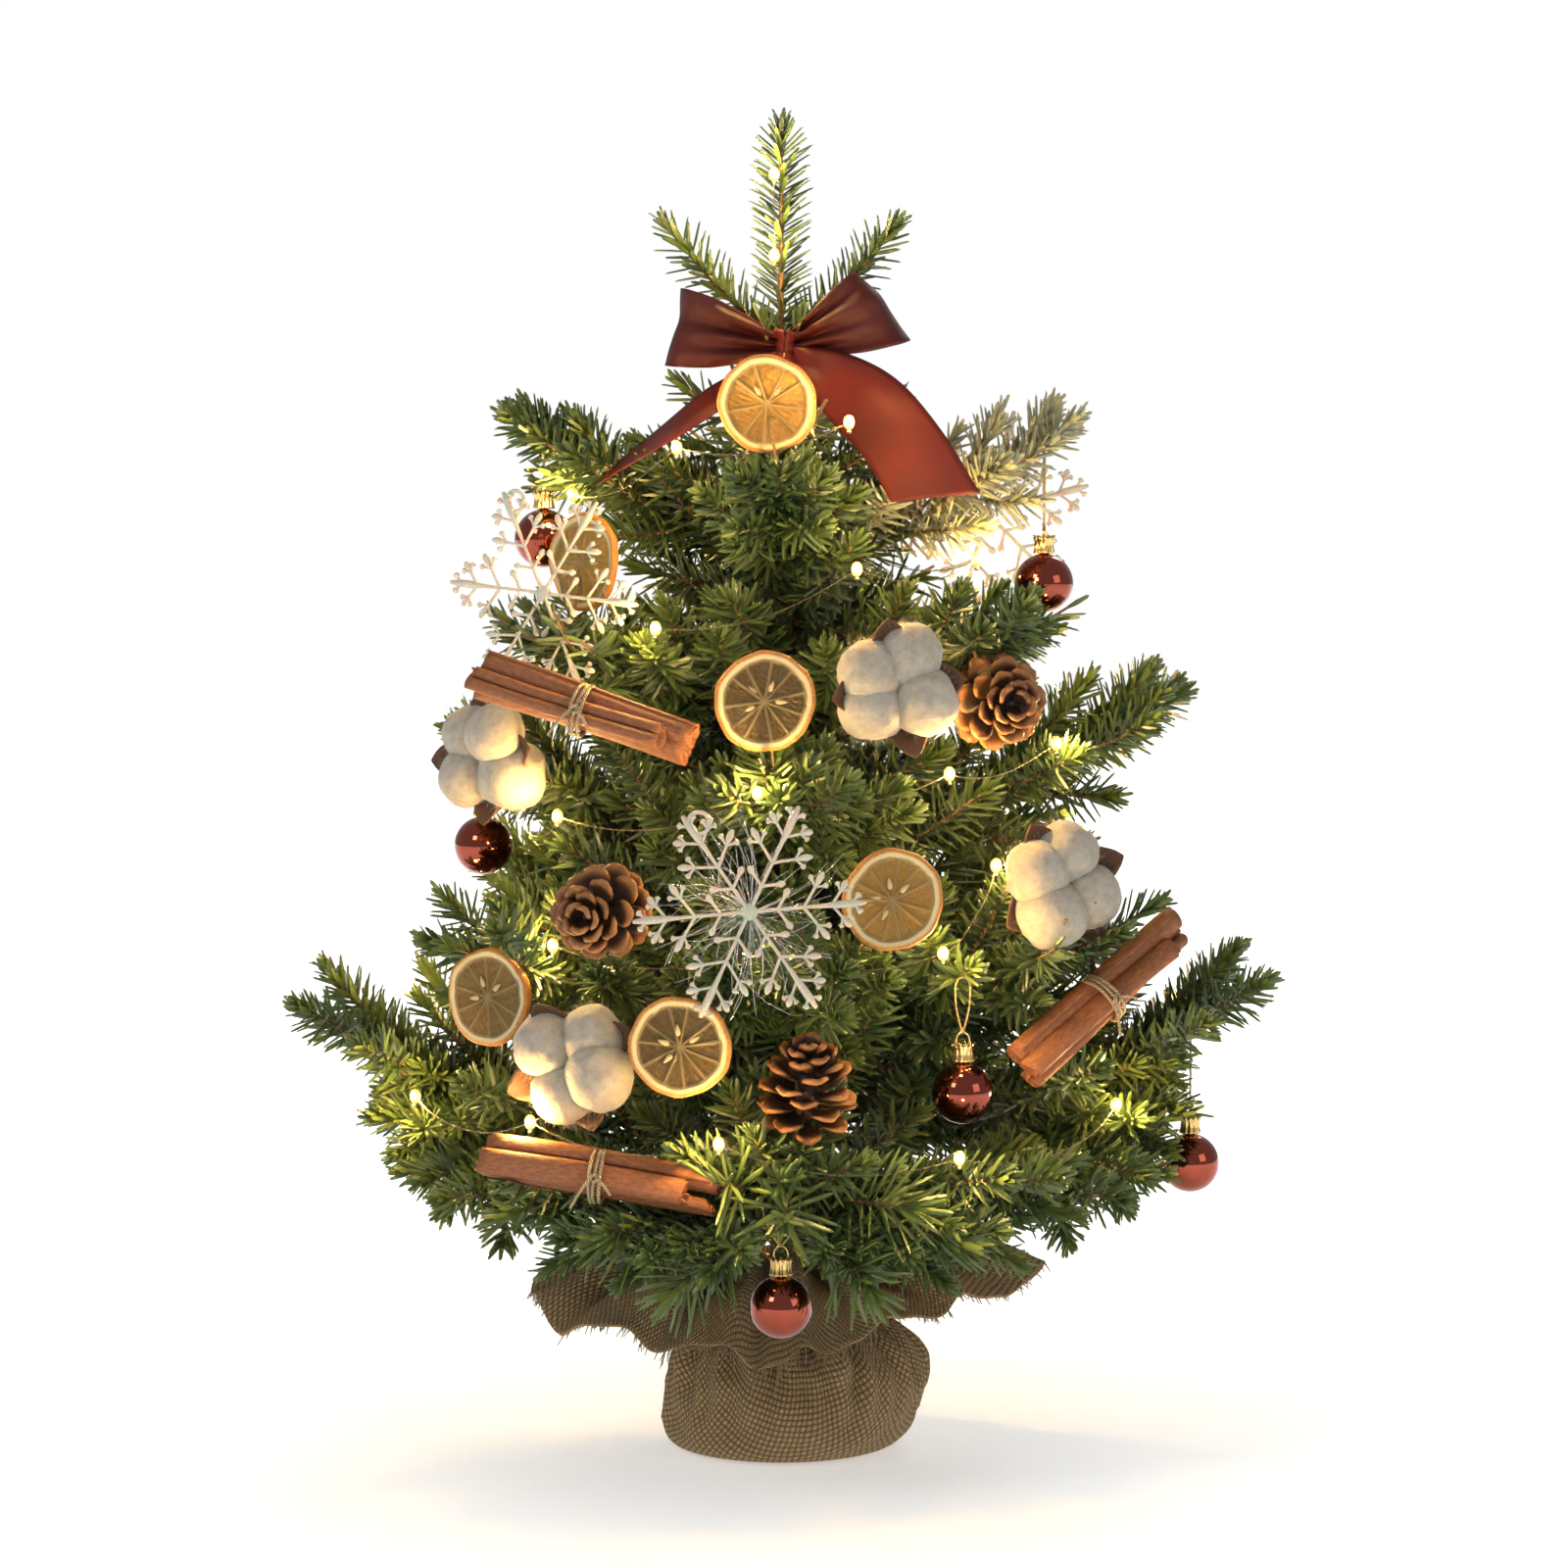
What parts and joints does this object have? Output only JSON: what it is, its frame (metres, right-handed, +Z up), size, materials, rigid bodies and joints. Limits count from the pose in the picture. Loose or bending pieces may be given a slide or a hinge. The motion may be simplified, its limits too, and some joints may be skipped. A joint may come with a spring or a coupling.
{
  "type": "artificial tabletop tree",
  "caption": "Small artificial pine with bendable wired branches, hanging balls, dried-fruit ornaments, bow, light string and a burlap-wrapped weighted foot.",
  "frame": {"origin": "on the resting face under the foot of the pole", "axes": "+Z up along the pole, -Y the decorated front, +X to the right as seen from the front"},
  "size_m": [0.4364, 0.3748, 0.6],
  "materials": {
    "ball_1": "mirror-bright copper red plating",
    "ball_2": "mirror-bright copper red plating",
    "ball_3": "mirror-bright copper red plating",
    "ball_4": "mirror-bright copper red plating",
    "ball_5": "mirror-bright copper red plating",
    "ball_6": "mirror-bright copper red plating",
    "base_weight": "cast cement",
    "battery_box": "black",
    "battery_cover": "black",
    "bow": "satin",
    "branch_1_back": "matte moulded needles on brown wire",
    "branch_1_front": "matte moulded needles on brown wire",
    "branch_1_left": "matte moulded needles on brown wire",
    "branch_1_right": "matte moulded needles on brown wire",
    "branch_2_back_left": "matte moulded needles on brown wire",
    "branch_2_back_right": "matte moulded needles on brown wire",
    "branch_2_front": "matte moulded needles on brown wire",
    "branch_2_front_left": "matte moulded needles on brown wire",
    "branch_2_front_right": "matte moulded needles on brown wire",
    "branch_3_back": "matte moulded needles on brown wire",
    "branch_3_front": "matte moulded needles on brown wire",
    "branch_3_left": "matte moulded needles on brown wire",
    "branch_3_right": "matte moulded needles on brown wire",
    "branch_4_back": "matte moulded needles on brown wire",
    "branch_4_front_left": "matte moulded needles on brown wire",
    "branch_4_front_right": "matte moulded needles on brown wire",
    "branch_5_front": "matte moulded needles on brown wire",
    "branch_5_left": "matte moulded needles on brown wire",
    "branch_5_right": "matte moulded needles on brown wire",
    "burlap_wrap": "coarse jute weave",
    "cinnamon_lower": "raw bark, tied with twine",
    "cinnamon_right": "raw bark, tied with twine",
    "cinnamon_upper": "raw bark, tied with twine",
    "cotton_left": "soft fibre",
    "cotton_low": "soft fibre",
    "cotton_middle": "soft fibre",
    "cotton_right": "soft fibre",
    "hanger_1": "bright gold crown cap, ring and metallic thread",
    "hanger_2": "bright gold crown cap, ring and metallic thread",
    "hanger_3": "bright gold crown cap, ring and metallic thread",
    "hanger_4": "bright gold crown cap, ring and metallic thread",
    "hanger_5": "bright gold crown cap, ring and metallic thread",
    "hanger_6": "bright gold crown cap, ring and metallic thread",
    "light_string": "fine enamelled wire with clear lamp beads",
    "neck_tie": "jute twine",
    "orange_slice_left": "dried citrus, slightly glossy",
    "orange_slice_low": "dried citrus, slightly glossy",
    "orange_slice_middle": "dried citrus, slightly glossy",
    "orange_slice_right": "dried citrus, slightly glossy",
    "orange_slice_top": "dried citrus, slightly glossy",
    "orange_slice_upper_left": "dried citrus, slightly glossy",
    "pinecone_left": "raw scales",
    "pinecone_low": "raw scales",
    "pinecone_right": "raw scales",
    "pole": "wire core wound with brown tape",
    "power_switch": "grey",
    "snowflake_front": "translucent white",
    "snowflake_left": "translucent white",
    "snowflake_right": "translucent white",
    "top_sprig": "matte moulded needles on brown wire"
  },
  "bodies": {
    "trunk": {"pole": "pole", "base_weight": "base_weight", "burlap_wrap": "burlap_wrap", "neck_tie": "neck_tie", "top_sprig": "top_sprig", "bow": "bow", "light_string": "light_string", "battery_box": "battery_box"},
    "branch_5_right_arm": {"branch_5_right": "branch_5_right", "snowflake_right": "snowflake_right"},
    "branch_5_left_arm": {"branch_5_left": "branch_5_left"},
    "branch_5_front_arm": {"branch_5_front": "branch_5_front", "orange_slice_top": "orange_slice_top"},
    "branch_4_front_right_arm": {"branch_4_front_right": "branch_4_front_right", "cotton_middle": "cotton_middle", "pinecone_right": "pinecone_right"},
    "branch_4_front_left_arm": {"branch_4_front_left": "branch_4_front_left", "orange_slice_upper_left": "orange_slice_upper_left", "snowflake_left": "snowflake_left"},
    "branch_4_back_arm": {"branch_4_back": "branch_4_back"},
    "branch_3_right_arm": {"branch_3_right": "branch_3_right"},
    "branch_3_left_arm": {"branch_3_left": "branch_3_left", "cotton_left": "cotton_left"},
    "branch_3_front_arm": {"branch_3_front": "branch_3_front", "cinnamon_upper": "cinnamon_upper", "orange_slice_middle": "orange_slice_middle"},
    "branch_3_back_arm": {"branch_3_back": "branch_3_back"},
    "branch_2_front_arm": {"branch_2_front": "branch_2_front", "orange_slice_low": "orange_slice_low", "orange_slice_right": "orange_slice_right", "snowflake_front": "snowflake_front"},
    "branch_2_front_right_arm": {"branch_2_front_right": "branch_2_front_right", "cinnamon_right": "cinnamon_right", "cotton_right": "cotton_right"},
    "branch_2_front_left_arm": {"branch_2_front_left": "branch_2_front_left", "cotton_low": "cotton_low", "orange_slice_left": "orange_slice_left", "pinecone_left": "pinecone_left"},
    "branch_2_back_left_arm": {"branch_2_back_left": "branch_2_back_left"},
    "branch_2_back_right_arm": {"branch_2_back_right": "branch_2_back_right"},
    "branch_1_right_arm": {"branch_1_right": "branch_1_right"},
    "branch_1_left_arm": {"branch_1_left": "branch_1_left"},
    "branch_1_front_arm": {"branch_1_front": "branch_1_front", "cinnamon_lower": "cinnamon_lower", "pinecone_low": "pinecone_low"},
    "branch_1_back_arm": {"branch_1_back": "branch_1_back"},
    "ball_1_drop": {"ball_1": "ball_1", "hanger_1": "hanger_1"},
    "ball_2_drop": {"ball_2": "ball_2", "hanger_2": "hanger_2"},
    "ball_3_drop": {"ball_3": "ball_3", "hanger_3": "hanger_3"},
    "ball_4_drop": {"ball_4": "ball_4", "hanger_4": "hanger_4"},
    "ball_5_drop": {"ball_5": "ball_5", "hanger_5": "hanger_5"},
    "ball_6_drop": {"ball_6": "ball_6", "hanger_6": "hanger_6"},
    "cover": {"battery_cover": "battery_cover"},
    "slider": {"power_switch": "power_switch"}
  },
  "joints": [
    {"name": "branch_5_right_bend", "type": "hinge", "parent": "trunk", "child": "branch_5_right_arm", "pos_m": [0.00779, 0.00041, 0.4], "axis": [0.0523, -0.9986, 0], "range_deg": [-12, 24], "deforming": ["light_string"]},
    {"name": "branch_5_left_bend", "type": "hinge", "parent": "trunk", "child": "branch_5_left_arm", "pos_m": [-0.00779, 0.00027, 0.4], "axis": [0.0349, 0.9994, 0], "range_deg": [-12, 24]},
    {"name": "branch_5_front_bend", "type": "hinge", "parent": "trunk", "child": "branch_5_front_arm", "pos_m": [0, -0.0078, 0.395], "axis": [-1, 0, 0], "range_deg": [-12, 20]},
    {"name": "branch_4_front_right_bend", "type": "hinge", "parent": "trunk", "child": "branch_4_front_right_arm", "pos_m": [0.00639, -0.00447, 0.332], "axis": [-0.5736, -0.8192, 0], "range_deg": [-12, 24]},
    {"name": "branch_4_front_left_bend", "type": "hinge", "parent": "trunk", "child": "branch_4_front_left_arm", "pos_m": [-0.00639, -0.00447, 0.332], "axis": [-0.5736, 0.8192, 0], "range_deg": [-3, 6]},
    {"name": "branch_4_back_bend", "type": "hinge", "parent": "trunk", "child": "branch_4_back_arm", "pos_m": [0, 0.0078, 0.345], "axis": [1, 0, 0], "range_deg": [-12, 24]},
    {"name": "branch_3_right_bend", "type": "hinge", "parent": "trunk", "child": "branch_3_right_arm", "pos_m": [0.0078, 0.00014, 0.262], "axis": [0.0175, -0.9998, 0], "range_deg": [-12, 15]},
    {"name": "branch_3_left_bend", "type": "hinge", "parent": "trunk", "child": "branch_3_left_arm", "pos_m": [-0.0078, 0, 0.262], "axis": [0, 1, 0], "range_deg": [-12, 3]},
    {"name": "branch_3_front_bend", "type": "hinge", "parent": "trunk", "child": "branch_3_front_arm", "pos_m": [0, -0.0078, 0.262], "axis": [-1, 0, 0], "range_deg": [-12, 15]},
    {"name": "branch_3_back_bend", "type": "hinge", "parent": "trunk", "child": "branch_3_back_arm", "pos_m": [0, 0.0078, 0.275], "axis": [1, 0, 0], "range_deg": [-12, 24]},
    {"name": "branch_2_front_bend", "type": "hinge", "parent": "trunk", "child": "branch_2_front_arm", "pos_m": [0, -0.0078, 0.19], "axis": [-1, 0, 0], "range_deg": [-7, 12]},
    {"name": "branch_2_front_right_bend", "type": "hinge", "parent": "trunk", "child": "branch_2_front_right_arm", "pos_m": [0.00615, -0.0048, 0.19], "axis": [-0.6157, -0.788, 0], "range_deg": [-5, 12]},
    {"name": "branch_2_front_left_bend", "type": "hinge", "parent": "trunk", "child": "branch_2_front_left_arm", "pos_m": [-0.00615, -0.0048, 0.19], "axis": [-0.6157, 0.788, 0], "range_deg": [-4, 17]},
    {"name": "branch_2_back_left_bend", "type": "hinge", "parent": "trunk", "child": "branch_2_back_left_arm", "pos_m": [-0.00598, 0.00501, 0.2], "axis": [0.6428, 0.766, 0], "range_deg": [-12, 20]},
    {"name": "branch_2_back_right_bend", "type": "hinge", "parent": "trunk", "child": "branch_2_back_right_arm", "pos_m": [0.00598, 0.00501, 0.2], "axis": [0.6428, -0.766, 0], "range_deg": [-12, 20]},
    {"name": "branch_1_right_bend", "type": "hinge", "parent": "trunk", "child": "branch_1_right_arm", "pos_m": [0.00779, -0.00041, 0.118], "axis": [-0.0523, -0.9986, 0], "range_deg": [-12, 5]},
    {"name": "branch_1_left_bend", "type": "hinge", "parent": "trunk", "child": "branch_1_left_arm", "pos_m": [-0.00779, -0.00041, 0.118], "axis": [-0.0523, 0.9986, 0], "range_deg": [-12, 12]},
    {"name": "branch_1_front_bend", "type": "hinge", "parent": "trunk", "child": "branch_1_front_arm", "pos_m": [0, -0.0078, 0.112], "axis": [-1, 0, 0], "range_deg": [-12, 3]},
    {"name": "branch_1_back_bend", "type": "hinge", "parent": "trunk", "child": "branch_1_back_arm", "pos_m": [0, 0.0078, 0.15], "axis": [1, 0, 0], "range_deg": [-12, 24]},
    {"name": "ball_1_swing", "type": "hinge", "parent": "branch_5_left_arm", "child": "ball_1_drop", "pos_m": [-0.10647, 0.00372, 0.45634], "axis": [-0.9994, 0.0349, 0], "range_deg": [-15, 15]},
    {"name": "ball_2_swing", "type": "hinge", "parent": "branch_5_right_arm", "child": "ball_2_drop", "pos_m": [0.11822, 0.0062, 0.45229], "axis": [0.9986, 0.0523, 0], "range_deg": [-15, 15]},
    {"name": "ball_3_swing", "type": "hinge", "parent": "branch_3_left_arm", "child": "ball_3_drop", "pos_m": [-0.13398, 0, 0.3164], "axis": [-1, 0, 0], "range_deg": [-15, 15]},
    {"name": "ball_4_swing", "type": "hinge", "parent": "branch_2_front_right_arm", "child": "ball_4_drop", "pos_m": [0.07756, -0.12087, 0.22234], "axis": [0.2924, -0.9563, 0], "range_deg": [-15, 15]},
    {"name": "ball_5_swing", "type": "hinge", "parent": "branch_1_right_arm", "child": "ball_5_drop", "pos_m": [0.18412, -0.00965, 0.1938], "axis": [0.9986, -0.0523, 0], "range_deg": [-15, 15]},
    {"name": "ball_6_swing", "type": "hinge", "parent": "branch_1_front_arm", "child": "ball_6_drop", "pos_m": [0, -0.16458, 0.14359], "axis": [0, -1, 0], "range_deg": [-15, 15]},
    {"name": "cover_slide", "type": "slide", "parent": "trunk", "child": "cover", "axis": [0, 0, -1], "range_m": [0, 0.006]},
    {"name": "switch_slide", "type": "slide", "parent": "trunk", "child": "slider", "axis": [0, 0, 1], "range_m": [0, 0.003]}
  ]
}
